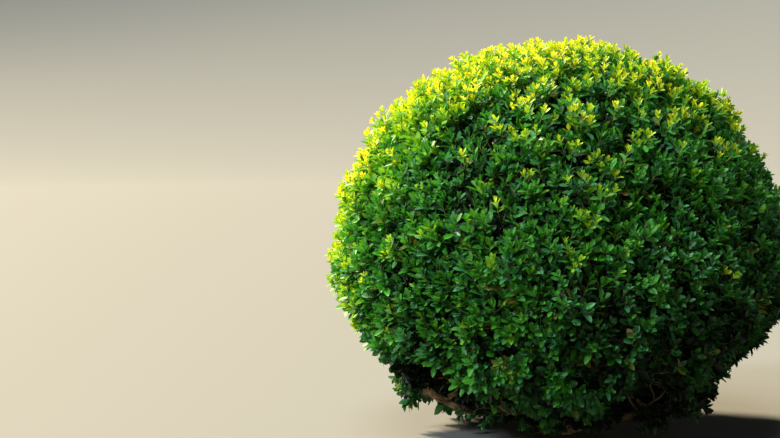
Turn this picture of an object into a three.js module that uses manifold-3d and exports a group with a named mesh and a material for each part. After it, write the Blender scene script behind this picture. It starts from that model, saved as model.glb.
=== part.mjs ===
// A clipped box ball that grows in the ground: a short trunk with a flared foot, low boughs that
// sweep outwards from it and fork, and one dense crown, clipped to a ball a little wider than tall.
// Millimetres, +Z up. The origin is the middle of the trunk's flat cut at ground level. -Y is the front.
import * as THREE from "three";
import { mergeVertices } from "three/addons/utils/BufferGeometryUtils.js";
import Module from "manifold-3d";

const wasm = await Module();
wasm.setup();

// The clipped ball, measured to the tips of the leaves.
const BALL_WIDTH = 906;
const BALL_HEIGHT = 762;
const WAIST_HEIGHT = 333;
const DOME_SQUARENESS = 2.0; // 2 is an ellipse, more is squarer
const SKIRT_SQUARENESS = 2.0;

// Slow swells that the shears leave. Each has a share of the reach, a number of waves round the
// ball and from foot to top, and a start.
const SWELLS = [
  { share: 0.011, round: 3, up: 1.0, start: 0.6 },
  { share: 0.008, round: 5, up: 2.0, start: 2.1 },
  { share: 0.005, round: 9, up: 3.5, start: 4.0 },
];

// The dense core under the leaves, with a shallow domed underside and its own short stem.
const CORE_SHARE = 0.865;
const CORE_DETAIL = 6;
const CORE_FLOOR = 108;
const CORE_FLOOR_DOME = 0.2;
const CORE_STEM_LENGTH = 60;
const CORE_STEM_TAPER = 0.85;

// Trunk: from the ground to the fork just under the crown.
const TRUNK_HEIGHT = 72;
const TRUNK_FOOT_RADIUS = 27;
const TRUNK_TOP_RADIUS = 21;
const TRUNK_LEAN = new THREE.Vector3(7, 5, 0);
const FLARE_GAIN = 0.75;
const FLARE_HEIGHT = 16;
const FLARE_ROOTS = 5;
const FLARE_RELIEF = 0.22;
const TRUNK_SIDES = 20;
const TRUNK_RINGS = 8;

// Boughs: low limbs placed round the trunk by the golden angle. The first is the thickest, leaves
// the trunk lowest and reaches furthest.
const BOUGH_COUNT = 8;
const GOLDEN_ANGLE = Math.PI * (3 - Math.sqrt(5));
const FIRST_BOUGH_ANGLE = THREE.MathUtils.degToRad(188);
const BOUGH_RADIUS = [10.5, 6.5]; // of the first and of the last, as in the next three lines
const BOUGH_REACH = [300, 190];
const BOUGH_FOOT = [22, 52];
const BOUGH_KNEE = [44, 78];
const BOUGH_KNEE_SHARE = 0.6;
const BOUGH_SAG = 0.4;
const BOUGH_SWAY = 0.09;
const BOUGH_TIP_SHARE = 0.55;
const BOUGH_SUNK = { reach: 1.08, height: 40 }; // where its path would end inside the core
const BOUGH_SIDES = 8;
const BOUGH_RINGS = 9;

// Forks: one side limb on each of the first boughs, rising steeply into the crown.
const FORK_COUNT = 4;
const FORK_PLACE = 0.62;
const FORK_RADIUS_SHARE = 0.55;
const FORK_BACK_SHARE = 0.82;
const FORK_SWAY = 0.16;
const FORK_SUNK = 30;
const FORK_SIDES = 6;
const FORK_RINGS = 4;

// Sprays: twigs spread evenly over the core, each with a side shoot. Both end in a pair of leaves.
const SPRAY_COUNT = 102;
const SPRAY_HIGHEST = 0.995; // sine of the angle over the waist
const SPRAY_LOWEST = -0.9;
const SPRAY_LIFT = 0.5;
const SPRAY_LIFT_END = 0.83; // sine of the angle at which twigs no longer turn up
const SPRAY_WANDER = 0.15;
const TWIG_SUNK = 14;
const TWIG_RADIUS = 4.6;
const TWIG_BARE_LEAST = 16;
const SIDE_SHOOT_PLACE = 0.3;
const SIDE_SHOOT_LENGTH = 40;
const SIDE_SHOOT_OPENING = THREE.MathUtils.degToRad(62);
const SIDE_SHOOT_RADIUS_SHARE = 0.75;

// Leaves: opposite pairs, larger than life, each leaf standing for several real ones of 20 mm.
const LEAF_LENGTH = 82;
const LEAF_OPENING = THREE.MathUtils.degToRad(64);
const LEAF_SECTIONS = [
  { along: 0, width: 8, rise: 0, rib: 7 },
  { along: 0.56 * LEAF_LENGTH, width: 46, rise: 6, rib: 5 },
  { along: LEAF_LENGTH, width: 0, rise: -6, rib: 0 },
];
const LEAF_VARIETY = [0.86, 1.06];
const LEAF_TRIAL_SIZES = [1, 0.86, 0.72, 0.58]; // the first that fits is taken
const LEAF_TRIAL_TURNS = [0, Math.PI / 3, (2 * Math.PI) / 3];

const CLEARANCE = 0.3;
const CORE_CLEARANCE = 0.4; // a little more, because its facets cut the curve short
const LEAF_LIMB_GAP = 2;
const GROUND_GAP = 10;
const TIP_SLACK = 1.002;
const SEED = 20;

const BARK = { color: 0x75614a, roughness: 0.88, metalness: 0 };
const FOLIAGE = { color: 0x2f6a26, roughness: 0.5, metalness: 0 };

const { lerp, clamp } = THREE.MathUtils;
const UP = new THREE.Vector3(0, 0, 1);
const WAIST = new THREE.Vector3(0, 0, WAIST_HEIGHT);

// A repeatable random number source.
function seeded(seed) {
  let state = seed;
  return () => {
    state = (state + 0x6d2b79f5) | 0;
    let mixed = Math.imul(state ^ (state >>> 15), 1 | state);
    mixed = (mixed + Math.imul(mixed ^ (mixed >>> 7), 61 | mixed)) ^ mixed;
    return ((mixed ^ (mixed >>> 14)) >>> 0) / 4294967296;
  };
}

// A closed geometry as a solid that can be cut and joined.
function solidOf(geometry) {
  const bare = geometry.clone();
  bare.deleteAttribute("normal");
  bare.deleteAttribute("uv");
  const merged = mergeVertices(bare, 1e-4);
  return new wasm.Manifold(
    new wasm.Mesh({
      numProp: 3,
      vertProperties: merged.attributes.position.array,
      triVerts: new Uint32Array(merged.index.array),
    }),
  );
}

function geometryOf(solid) {
  const { vertProperties, triVerts } = solid.getMesh();
  const geometry = new THREE.BufferGeometry();
  geometry.setAttribute("position", new THREE.BufferAttribute(vertProperties, 3));
  geometry.setIndex(new THREE.BufferAttribute(triVerts, 1));
  geometry.computeVertexNormals();
  return geometry;
}

function joined(solids) {
  return solids.reduce((whole, solid) => whole.add(solid));
}

// The largest body of a solid: loose scraps go, and a sealed hollow is filled.
function mainBody(solid) {
  return solid.decompose().reduce((a, b) => (b.volume() > a.volume() ? b : a));
}

// A point at an angle round the trunk, at a distance from the middle and a height.
function polar(angle, distance, height) {
  return new THREE.Vector3(Math.cos(angle) * distance, Math.sin(angle) * distance, height);
}

// A vector tilted away from an axis towards a unit vector square to it.
function opened(axis, towards, angle) {
  return axis.clone().multiplyScalar(Math.cos(angle)).addScaledVector(towards, Math.sin(angle));
}

// A unit vector square to an axis, turned round it.
function squareTo(axis, turn) {
  const start = Math.abs(axis.z) < 0.9 ? UP : new THREE.Vector3(1, 0, 0);
  return new THREE.Vector3().crossVectors(axis, start).normalize().applyAxisAngle(axis, turn);
}

// Distance from the middle of the waist to the clipped surface, along a unit direction.
function reachAlong(direction) {
  const rising = direction.z >= 0;
  const depth = rising ? BALL_HEIGHT - WAIST_HEIGHT : WAIST_HEIGHT;
  const power = rising ? DOME_SQUARENESS : SKIRT_SQUARENESS;
  const flatness = Math.hypot(direction.x, direction.y);
  const across = flatness / (BALL_WIDTH / 2);
  const along = Math.abs(direction.z) / depth;
  const bearing = Math.atan2(direction.y, direction.x);
  const level = Math.asin(clamp(direction.z, -1, 1));
  const swell = SWELLS.reduce(
    (sum, { share, round, up, start }) =>
      sum + share * Math.sin(round * bearing + up * Math.PI * level + start),
    0,
  );
  return (across ** power + along ** power) ** (-1 / power) * (1 + swell * flatness);
}

function insideBall(point, slack = 1) {
  const offset = point.clone().sub(WAIST);
  const distance = offset.length();
  return distance <= reachAlong(offset.divideScalar(distance)) * slack;
}

// How far a point can go along an aim before it leaves the ball.
function roomAhead(point, aim) {
  const step = 2;
  let distance = 0;
  while (insideBall(point.clone().addScaledVector(aim, distance + step))) {
    distance += step;
  }
  return distance;
}

// A point of the core's surface, along a direction from the waist's middle.
function corePoint(direction) {
  const point = direction.clone().multiplyScalar(reachAlong(direction) * CORE_SHARE).add(WAIST);
  if (point.z < CORE_FLOOR) {
    point.z = CORE_FLOOR - (CORE_FLOOR - point.z) * CORE_FLOOR_DOME;
  }
  return point;
}

function coreSolid(extra = 0) {
  const geometry = new THREE.IcosahedronGeometry(1, CORE_DETAIL);
  const position = geometry.attributes.position;
  const direction = new THREE.Vector3();
  for (let i = 0; i < position.count; i++) {
    direction.fromBufferAttribute(position, i).normalize();
    const { x, y, z } = corePoint(direction).addScaledVector(direction, extra);
    position.setXYZ(i, x, y, z);
  }
  return solidOf(geometry);
}

// A round limb along a path. radiusAt takes the place along it, 0 to 1, and the angle round it.
function limbSolid(path, radiusAt, sides, rings) {
  const geometry = new THREE.CylinderGeometry(1, 1, 1, sides, rings);
  const frames = path.computeFrenetFrames(rings, false);
  const position = geometry.attributes.position;
  const vertex = new THREE.Vector3();
  for (let i = 0; i < position.count; i++) {
    vertex.fromBufferAttribute(position, i);
    const along = vertex.y + 0.5;
    const ring = Math.round(along * rings);
    const radius = radiusAt(along, Math.atan2(vertex.z, vertex.x));
    const place = path
      .getPointAt(along)
      .addScaledVector(frames.binormals[ring], vertex.x * radius)
      .addScaledVector(frames.normals[ring], vertex.z * radius);
    position.setXYZ(i, place.x, place.y, place.z);
  }
  return solidOf(geometry);
}

// The trunk's path starts below the ground, which cuts its flat foot.
function trunkPath() {
  return new THREE.QuadraticBezierCurve3(
    new THREE.Vector3(0, 0, -FLARE_HEIGHT),
    new THREE.Vector3(0, 0, TRUNK_HEIGHT / 2),
    new THREE.Vector3(0, 0, TRUNK_HEIGHT).add(TRUNK_LEAN),
  );
}

function trunkRadius(along, angle) {
  const height = lerp(-FLARE_HEIGHT, TRUNK_HEIGHT, along);
  const flare = FLARE_GAIN * Math.exp(-Math.max(height, 0) / FLARE_HEIGHT);
  const roots = 1 + FLARE_RELIEF * Math.cos(FLARE_ROOTS * angle);
  return lerp(TRUNK_FOOT_RADIUS, TRUNK_TOP_RADIUS, along) * (1 + flare * roots);
}

function trunkSolid(extra = 0) {
  const radiusAt = (along, angle) => trunkRadius(along, angle) + extra;
  const depth = 4 * FLARE_HEIGHT;
  const ground = new THREE.BoxGeometry(BALL_WIDTH, BALL_WIDTH, depth).translate(0, 0, -depth / 2);
  return limbSolid(trunkPath(), radiusAt, TRUNK_SIDES, TRUNK_RINGS).subtract(solidOf(ground));
}

function boughPlans() {
  const random = seeded(SEED);
  return Array.from({ length: BOUGH_COUNT }, (_, i) => {
    const share = i / (BOUGH_COUNT - 1);
    const [radius, reach, foot, knee] = [BOUGH_RADIUS, BOUGH_REACH, BOUGH_FOOT, BOUGH_KNEE].map(
      ([first, last]) => lerp(first, last, share),
    );
    const angle = FIRST_BOUGH_ANGLE + i * GOLDEN_ANGLE;
    const swayed = angle + (random() * 2 - 1) * BOUGH_SWAY;
    const kneeReach = reach * BOUGH_KNEE_SHARE;
    const path = new THREE.CatmullRomCurve3([
      polar(angle, TRUNK_TOP_RADIUS / 2, foot),
      polar(swayed, kneeReach / 2, lerp(foot, knee, BOUGH_SAG)),
      polar(swayed, kneeReach, knee),
      polar(angle, reach, CORE_FLOOR),
      polar(angle, reach * BOUGH_SUNK.reach, CORE_FLOOR + BOUGH_SUNK.height),
    ]);
    return { name: `bough_${i + 1}`, angle, reach, path, radius };
  });
}

function forkPlans(boughs) {
  return boughs.slice(0, FORK_COUNT).map((parent, i) => {
    const side = i % 2 ? -1 : 1;
    const angle = parent.angle + side * FORK_SWAY;
    const foot = parent.path.getPointAt(FORK_PLACE);
    const distance = parent.reach * FORK_PLACE;
    const path = new THREE.QuadraticBezierCurve3(
      foot,
      polar(angle, distance, (foot.z + CORE_FLOOR) / 2),
      polar(angle, distance * FORK_BACK_SHARE, CORE_FLOOR + FORK_SUNK),
    );
    return { name: `${parent.name}_fork`, parent, path, radius: parent.radius * FORK_RADIUS_SHARE };
  });
}

// A bough or fork along its path, tapering evenly, grown by extra all round.
function taperedSolid({ path, radius, parent }, extra = 0) {
  const radiusAt = (along) => radius * lerp(1, BOUGH_TIP_SHARE, along) + extra;
  const [sides, rings] = parent ? [FORK_SIDES, FORK_RINGS] : [BOUGH_SIDES, BOUGH_RINGS];
  return limbSolid(path, radiusAt, sides, rings);
}

function twigSolid(foot, aim, length, radius) {
  const geometry = new THREE.ConeGeometry(radius, length, 3);
  geometry.translate(0, length / 2, 0);
  geometry.applyQuaternion(new THREE.Quaternion().setFromUnitVectors(new THREE.Vector3(0, 1, 0), aim));
  return solidOf(geometry.translate(foot.x, foot.y, foot.z));
}

// A pair of leaves: a three-sided spindle drawn out into two blades that meet in a narrow node.
// Of its five rings, 0 is the node, 1 and 2 are one blade's widest place and tip, and -1 and -2 the other's.
function pairSolid(node, aim, towards, size) {
  const geometry = new THREE.SphereGeometry(1, 3, 4);
  const position = geometry.attributes.position;
  const side = new THREE.Vector3().crossVectors(aim, towards);
  for (let i = 0; i < position.count; i++) {
    const ring = Math.round(position.getY(i) * 2);
    const edge = Math.sign(Math.round(position.getZ(i) * 2)); // 0 is on the rib
    const { along, width, rise, rib } = LEAF_SECTIONS[Math.abs(ring)];
    const half = Math.sign(ring);
    const leafAim = aim.clone().applyAxisAngle(side, half * LEAF_OPENING);
    const face = aim.clone().applyAxisAngle(side, half * (LEAF_OPENING - Math.PI / 2));
    const place = node
      .clone()
      .addScaledVector(leafAim, along * size)
      .addScaledVector(side, (edge * width * size) / 2)
      .addScaledVector(face, (edge === 0 ? rise - rib : rise) * size);
    position.setXYZ(i, place.x, place.y, place.z);
  }
  return solidOf(geometry);
}

// The largest pair of leaves that stays in the crown and clear of the limbs. Nothing where none does.
function leafPair(node, aim, turn, size, limbRoom) {
  for (const trialSize of LEAF_TRIAL_SIZES) {
    for (const trialTurn of LEAF_TRIAL_TURNS) {
      const towards = squareTo(aim, turn + trialTurn);
      const length = LEAF_LENGTH * size * trialSize;
      const tips = [LEAF_OPENING, -LEAF_OPENING].map((angle) =>
        node.clone().addScaledVector(opened(aim, towards, angle), length),
      );
      if (tips.every((tip) => tip.z > GROUND_GAP && insideBall(tip, TIP_SLACK))) {
        const pair = pairSolid(node, aim, towards, size * trialSize);
        if (pair.intersect(limbRoom).isEmpty()) {
          return pair;
        }
      }
    }
  }
  return null;
}

// A shoot: a bare twig that ends in a pair of leaves. Nothing where it would touch a limb.
function shootSolid(foot, aim, length, radius, turn, size, limbRoom) {
  const twig = twigSolid(foot, aim, length, radius);
  const pair = leafPair(foot.clone().addScaledVector(aim, length), aim, turn, size, limbRoom);
  return pair && twig.intersect(limbRoom).isEmpty() ? twig.add(pair) : null;
}

// A spray: the main shoot, sunk in the core, and a side shoot that leaves it low down.
function spraySolid(direction, random, limbRoom) {
  const lift = SPRAY_LIFT * Math.max(0, 1 - Math.abs(direction.z) / SPRAY_LIFT_END);
  const wander = new THREE.Vector3(random() * 2 - 1, random() * 2 - 1, random() * 2 - 1);
  const aim = direction.clone().addScaledVector(UP, lift).addScaledVector(wander, SPRAY_WANDER).normalize();
  const size = lerp(...LEAF_VARIETY, random());
  const turn = random() * Math.PI;
  const surface = corePoint(direction);
  const foot = surface.clone().addScaledVector(aim, -TWIG_SUNK);
  const leafRise = LEAF_LENGTH * size * Math.cos(LEAF_OPENING);
  const bare = Math.max(TWIG_BARE_LEAST, roomAhead(surface, aim) - leafRise);
  const main = shootSolid(foot, aim, TWIG_SUNK + bare, TWIG_RADIUS, turn, size, limbRoom);
  if (main === null) {
    return null;
  }
  const sideAim = opened(aim, squareTo(aim, turn + Math.PI / 2), SIDE_SHOOT_OPENING);
  const sideFoot = surface.clone().addScaledVector(aim, bare * SIDE_SHOOT_PLACE);
  const sideRadius = TWIG_RADIUS * SIDE_SHOOT_RADIUS_SHARE;
  const side = shootSolid(sideFoot, sideAim, SIDE_SHOOT_LENGTH * size, sideRadius, turn, size, limbRoom);
  return side === null ? main : main.add(side);
}

// The crown: the core, the stem that carries it on the trunk, and the sprays, all one body.
function crownSolid(limbRoom) {
  const random = seeded(SEED + 1);
  const trunk = trunkPath();
  const rise = trunk.getTangentAt(1);
  const stemFoot = trunk.getPointAt(1).addScaledVector(rise, CLEARANCE);
  const stemTop = stemFoot.clone().addScaledVector(rise, CORE_STEM_LENGTH);
  const stemRadius = (along) => TRUNK_TOP_RADIUS * lerp(1, CORE_STEM_TAPER, along);
  const parts = [coreSolid(), limbSolid(new THREE.LineCurve3(stemFoot, stemTop), stemRadius, TRUNK_SIDES, 1)];
  for (let i = 0; i < SPRAY_COUNT; i++) {
    const sine = lerp(SPRAY_HIGHEST, SPRAY_LOWEST, (i + 0.5) / SPRAY_COUNT);
    const direction = polar(i * GOLDEN_ANGLE, Math.sqrt(1 - sine * sine), sine);
    const spray = spraySolid(direction, random, limbRoom);
    if (spray !== null) {
      parts.push(spray);
    }
  }
  return mainBody(joined(parts));
}

// One named mesh with its own material.
function piece(name, solid, look) {
  const mesh = new THREE.Mesh(geometryOf(solid), new THREE.MeshStandardMaterial(look));
  mesh.name = name;
  return mesh;
}

const boughs = boughPlans();
const forks = forkPlans(boughs);
const trunkRoom = trunkSolid(CLEARANCE);
const coreRoom = coreSolid(CORE_CLEARANCE);

const stems = new THREE.Group();
stems.name = "stems";
stems.add(piece("trunk", trunkSolid(), BARK));
for (const bough of boughs) {
  const limb = taperedSolid(bough).subtract(trunkRoom).subtract(coreRoom);
  stems.add(piece(bough.name, mainBody(limb), BARK));
}
for (const fork of forks) {
  const limb = taperedSolid(fork).subtract(taperedSolid(fork.parent, CLEARANCE)).subtract(coreRoom);
  stems.add(piece(fork.name, mainBody(limb), BARK));
}

const grownLimbs = [...boughs, ...forks].map((limb) => taperedSolid(limb, LEAF_LIMB_GAP));
const limbRoom = joined([trunkRoom, ...grownLimbs]).subtract(coreSolid());

const plant = new THREE.Group();
plant.name = "box_ball";
plant.add(stems);
plant.add(piece("crown", crownSolid(limbRoom), FOLIAGE));

export default plant;
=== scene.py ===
import math

import bpy
import numpy as np
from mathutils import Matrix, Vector, noise


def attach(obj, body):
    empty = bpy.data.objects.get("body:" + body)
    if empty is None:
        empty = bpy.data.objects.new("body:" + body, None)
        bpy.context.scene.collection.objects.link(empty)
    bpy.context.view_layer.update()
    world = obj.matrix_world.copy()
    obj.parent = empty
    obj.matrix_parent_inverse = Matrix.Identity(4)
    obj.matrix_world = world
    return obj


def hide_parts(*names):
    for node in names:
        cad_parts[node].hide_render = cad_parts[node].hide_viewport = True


# A clipped box ball that grows in the ground, dressed for its looks: bark on the trunk and boughs,
# limbs and twigs carried on through the crown, and leaves in opposite pairs out to the clipped surface.
# Metres, +Z up. The origin is the middle of the trunk's flat cut at ground level. -Y is the front.

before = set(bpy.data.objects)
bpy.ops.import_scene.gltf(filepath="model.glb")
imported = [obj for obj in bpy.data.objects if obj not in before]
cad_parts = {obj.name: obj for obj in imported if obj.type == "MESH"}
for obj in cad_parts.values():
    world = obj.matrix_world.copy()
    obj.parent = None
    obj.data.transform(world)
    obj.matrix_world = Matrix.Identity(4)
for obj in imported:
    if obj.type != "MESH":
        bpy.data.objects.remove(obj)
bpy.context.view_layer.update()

MM = 0.001

# The clipped ball, measured to the tips of the leaves, by the same rule as the solids.
BALL_WIDTH = 906 * MM
BALL_HEIGHT = 762 * MM
WAIST_HEIGHT = 333 * MM
DOME_SQUARENESS = 2.0
SKIRT_SQUARENESS = 2.0
# Slow swells of that surface: height as a share of the reach, waves round, waves up, and their start.
SWELLS = ((0.011, 3, 1.0, 0.6), (0.008, 5, 2.0, 2.1), (0.005, 9, 3.5, 4.0))
CORE_FLOOR = 108 * MM
GOLDEN_ANGLE = math.pi * (3 - math.sqrt(5))
UP = np.array((0.0, 0.0, 1.0))
WAIST = UP * WAIST_HEIGHT
BEND_SAMPLES = 200  # along a curve drawn towards one point
STRETCH_SAMPLES = 100  # between two of the points that a limb runs through

# Trunk.
TRUNK_HEIGHT = 72 * MM
TRUNK_FOOT_RADIUS = 27 * MM
TRUNK_TOP_RADIUS = 21 * MM
TRUNK_LEAN = np.array((7, 5, 0)) * MM
FLARE_GAIN = 0.75
FLARE_HEIGHT = 16 * MM
FLARE_ROOTS = 5
FLARE_RELIEF = 0.22
TRUNK_ACROSS = np.array((0.0, 1.0, 0.0))  # any way that the trunk doesn't head
GROUND_CUT_SLACK = 1e-6  # how near the ground a corner counts as on it
TRUNK_SIDES = 64
TRUNK_RINGS = 44

# Boughs and forks, from the first to the last.
BOUGH_COUNT = 8
FIRST_BOUGH_ANGLE = math.radians(188)
BOUGH_RADIUS = (10.5 * MM, 6.5 * MM)
BOUGH_REACH = (300 * MM, 190 * MM)
BOUGH_FOOT = (22 * MM, 52 * MM)
BOUGH_KNEE = (44 * MM, 78 * MM)
BOUGH_KNEE_SHARE = 0.6
BOUGH_SAG = 0.4
BOUGH_SWAY = 0.09
BOUGH_TIP_SHARE = 0.55
BOUGH_SUNK_REACH = 1.08
BOUGH_SUNK_HEIGHT = 40 * MM
BOUGH_COLLAR_GAIN = 0.4
BOUGH_COLLAR_LENGTH = 0.09  # as a share of the bough
BOUGH_SIDES = 24
BOUGH_RINGS = 60
FORK_FOOT_SHARE = 0.1  # of a fork's length, over which it widens inside its bough
FORK_START_SHARE = 0.45  # of its radius, where it starts
FORK_COUNT = 4
FORK_PLACE = 0.62
FORK_RADIUS_SHARE = 0.55
FORK_BACK_SHARE = 0.82
FORK_SWAY = 0.16
FORK_SUNK = 30 * MM
FORK_SIDES = 16
FORK_RINGS = 26

# Bark relief: ridges a few millimetres wide that run along the limb.
RIDGE_WIDTH = 4.5 * MM
RIDGE_LENGTH = 26 * MM
RIDGE_DEPTH = 0.12  # as a share of the limb's radius
KINK_DEPTH = 3.5 * MM  # how far a bough strays from its smooth path
KINK_LENGTH = 42 * MM
HEADING_STEP = 0.01  # of a limb, over which its heading is read
GRAIN_SHIFT = 7.3  # so that no two limbs have the same bark
FINE_RIDGE_HEIGHT = 0.5
FINE_RIDGE_SCALE = 2.3
FINE_RIDGE_SHIFT = Vector((0, 0, 31))

# The source's sprays, which bear all the finer twigs.
SPRAY_COUNT = 102
SPRAY_HIGHEST = 0.995  # sine of the angle over the waist
SPRAY_LOWEST = -0.9
SPRAY_LIFT = 0.5
SPRAY_LIFT_END = 0.83  # sine of the angle at which they no longer turn up
SPRAY_WANDER = 0.15
SPRAY_DRAWS = 5  # that the source makes for each spray, of which the first three turn it
SEED = 20

# Limbs inside the crown, level by level: how many, the band of the ball that they fill as sines of the
# angle over the waist, how far they stray from an even spread and from their aim, how far out they end as
# a share of the reach and how much that varies, radius at foot and tip, sides and rings of each tube.
LEADERS = dict(
    count=34, band=(0.97, -0.25), jitter=0.2, wander=0.15, share=0.44, vary=0.05,
    radius=(8.0 * MM, 4.4 * MM), sides=8, rings=9,
)
SPRAY_LIMBS = dict(
    count=SPRAY_COUNT, band=(SPRAY_HIGHEST, SPRAY_LOWEST), jitter=0, share=0.68, vary=0.04,
    radius=(4.2 * MM, 2.4 * MM), sides=6, rings=7,
)
BRANCHLETS = dict(
    count=760, band=(0.998, -0.92), jitter=0.3, wander=0.25, share=0.81, vary=0.03,
    radius=(2.3 * MM, 1.4 * MM), sides=4, rings=5,
)
TWIGS = dict(
    count=2700, band=(0.999, -0.93), jitter=0.3, wander=0.3, share=0.88, vary=0.02,
    radius=(1.35 * MM, 0.9 * MM), sides=3, rings=3,
)
HEM_MARGIN = 12 * MM  # how far over the hem limbs end, and how far under it leaves may hang
THINNEST_SHARE = 0.8  # of the radius at a limb's tip
TUBE_TIP = 2  # length of a tube's pointed end, in radii
UPRIGHT = 0.8  # rise of a heading from which another way than up is used to turn from

# Where finer growth can start: under the trunk's top, along the boughs, and at a limb's tip and middle.
TRUNK_TOP_SUNK = 4 * MM
BOUGH_PLACES = np.linspace(0.45, 0.98, 6)
BOUGH_STEP = 0.02  # of a bough, over which its heading is read
MIDDLE_SHARE = 0.6
# Growth starts from the nearest place. One that heads its way counts as nearer, and one that isn't
# deeper in the ball counts as a metre farther.
AHEAD_GAIN = 0.35
DEEPER_BY = 0.03
SHALLOW_COST = 1.0
NEAREST_BATCH = 400  # ends looked at together, which keeps the arrays small

# Leafy shoots: those of the clipped surface, and older ones in the shade behind them.
SURFACE_SHOOTS = 10300
SHADE_SHOOTS = 3500
SHADE_SHARE = (0.62, 0.87)  # how far out those in the shade end, as a share of the reach
SHOOT_BAND = (0.999, -0.93)
SHOOT_JITTER = 0.3
SHOOT_RADIUS = (0.85 * MM, 0.5 * MM)
SHOOT_SIDES = 3
SHOOT_RINGS = 3
SHADE_SHOOT_RINGS = 2
SHOOT_LENGTH = 32 * MM  # from where a shoot leaves its twig to its tip
SHOOT_LIFT = 1.35
SHOOT_LIFT_FROM = -0.75  # sine of the angle over the waist at which shoots start to turn up
SHOOT_LIFT_SPAN = 0.6
SHOOT_WANDER = 0.32
SHOOT_DEPTH = (5 * MM, 30 * MM)  # of the tips under the clipped surface
SHOOT_DEPTH_POWER = 1.2  # over 1, so that more tips are near the surface
DOME_DEPTH = 13 * MM  # how much deeper the tips sit on the dome, between the new growth
CLUMP_DEPTH = (38 * MM, 20 * MM)  # how much deeper whole clumps of shoots sit, low down and at the top
CLUMP_DEPTH_POWER = 1.3
BUNCH_DEPTH = 9 * MM
SKIRT_TOP = 120 * MM  # under this the leaves are as low down as they count
SKIRT_DENSITY = 0.56  # of the shoots low in the skirt, as a share of those above it
OPEN_HEIGHTS = (60 * MM, 270 * MM)  # between which the shoots come to stand as close as above

# New growth: how likely a bunch has it by its sine over the waist, more on the sunny side and at the left.
NEW_SINES = (-0.9, 0.0, 0.3, 0.5, 0.7, 0.85, 1.0)
NEW_CHANCES = (0.004, 0.014, 0.03, 0.1, 0.34, 0.54, 0.6)
NEW_SUNNY = dict(start=0.35, span=0.65, gain=0.32)
NEW_LEFT = dict(start=0.62, span=0.38, gain=0.2)
NEW_SHARE = 0.9  # of the shoots of such a bunch
NEW_SHOOT_LIFT = 0.5
NEW_SHOOT_PROUD = 24 * MM  # how far they stand out at most
NEW_PROUD_LEAST = 0.3
NEW_PROUD_RISE = 1.3  # how fast that grows with the height, from the share in the next line
NEW_PROUD_LOW = 0.15
NEW_SUNK_SHARE = 0.5  # of the depth of old shoots

# Shoots from the boughs themselves.
LOW_SHOOT_RADIUS = (1.5 * MM, 0.7 * MM)
LOW_SHOOT_RINGS = 7
# Shoots low in the open places of the skirt: how many, bearings in degrees, distances and heights in mm.
LOW_PLACES = (
    (60, (184, 200), (275, 322), (84, 150)),
    (8, (182, 187), (280, 300), (42, 64)),
    (45, (172, 190), (200, 300), (62, 130)),
    (130, (128, 178), (130, 268), (24, 80)),
    (110, (178, 232), (60, 205), (30, 120)),
    (80, (318, 344), (270, 318), (64, 150)),
    (90, (0, 52), (130, 268), (24, 80)),
    (150, (52, 128), (130, 262), (24, 80)),
    (80, (296, 345), (60, 205), (30, 115)),
    (60, (238, 306), (74, 170), (20, 52)),
    (12, (308, 319), (235, 270), (40, 62)),
)
# Bare stems of the open skirt: places in millimetres from foot to tip, then radius at foot and tip.
BARE_STEMS = (
    (((-214, -4, 48), (-208, -36, 96), (-209, -42, 121), (-198, -46, 165)), (2.6, 1.9)),
    (((-236, -30, 70), (-222, -44, 90), (-199, -52, 106), (-165, -62, 130)), (1.6, 1.0)),
    (((-262, -30, 84), (-247, -36, 97), (-229, -38, 105), (-200, -40, 124)), (2.0, 1.3)),
    (((-182, -8, 42), (-192, -24, 48), (-197, -28, 64), (-197, -28, 86), (-190, -30, 122)), (3.4, 2.2)),
    (((-240, -14, 72), (-262, -30, 84), (-280, -34, 90), (-304, -34, 97)), (2.2, 1.2)),
    (((-311, -20, 128), (-303, -24, 88), (-297, -24, 66), (-289, -20, 52)), (2.4, 1.5)),
    (
        (
            (128, -90, 40), (146, -128, 54), (164, -146, 76), (186, -158, 98), (202, -166, 120),
            (216, -170, 160),
        ),
        (3.0, 1.4),
    ),
    (((176, -152, 88), (177, -160, 100), (169, -164, 118), (160, -168, 150)), (1.6, 1.1)),
    (((152, -134, 62), (138, -142, 80), (128, -146, 98), (110, -146, 132)), (2.2, 1.3)),
    (((158, -138, 42), (165, -150, 62), (176, -156, 90)), (1.2, 0.8)),
    (((58, -40, 30), (82, -64, 38), (104, -74, 56), (112, -70, 84)), (2.2, 1.2)),
    (((-17, -60, 28), (-19, -84, 42), (-17, -96, 68), (-12, -110, 96)), (3.4, 2.2)),
)
BARE_STEM_SIDES = 8
BARE_STEM_RINGS = 14
BARE_STEM_KINK = 1.6 * MM
BARE_STEM_VARIETY = 0.5
# The stub of a sawn branch on the first bough.
STUB_PLACE = 0.66  # as a share of the bough
STUB_WAY = (-0.56, -0.5, 0.66)
STUB_LENGTH = 30 * MM
STUB_RADIUS = (7.0 * MM, 6.2 * MM)
STUB_SIDES = 20
STUB_RINGS = 10

# Leaves: the outline of one of length 1, as along and half width, from foot to tip.
LEAF_EDGE = ((0.24, 0.155), (0.58, 0.232), (0.88, 0.14))
SHADE_LEAF_EDGE = ((0.3, 0.2), (0.75, 0.22))  # a plainer outline deep inside
LEAF_LENGTH_LOW = 19.8 * MM
LEAF_LENGTH_HIGH = 18.5 * MM
LEAF_WIDTH_SHARE = (1.14, 0.96)  # low down and at the top
NEW_LEAF_LENGTH = 11.5 * MM
LEAF_LENGTH_POWER = 0.8  # of the height
LEAF_VIGOUR = (1.3, 0.84)  # length of a bunch's leaves, which varies from bunch to bunch
LEAF_VARIETY = (0.9, 1.1)
LEAF_WIDTH_VARIETY = 0.09
LEAF_FOLD = (0.05, 0.6)  # how far the halves rise from the rib
LEAF_CURL = (-0.05, 0.32)  # how far the tip bends down
LEAF_STALK = 1.2 * MM
PAIR_LENGTH = 22 * MM  # of leaves whose pairs stand at the distances given below
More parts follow.
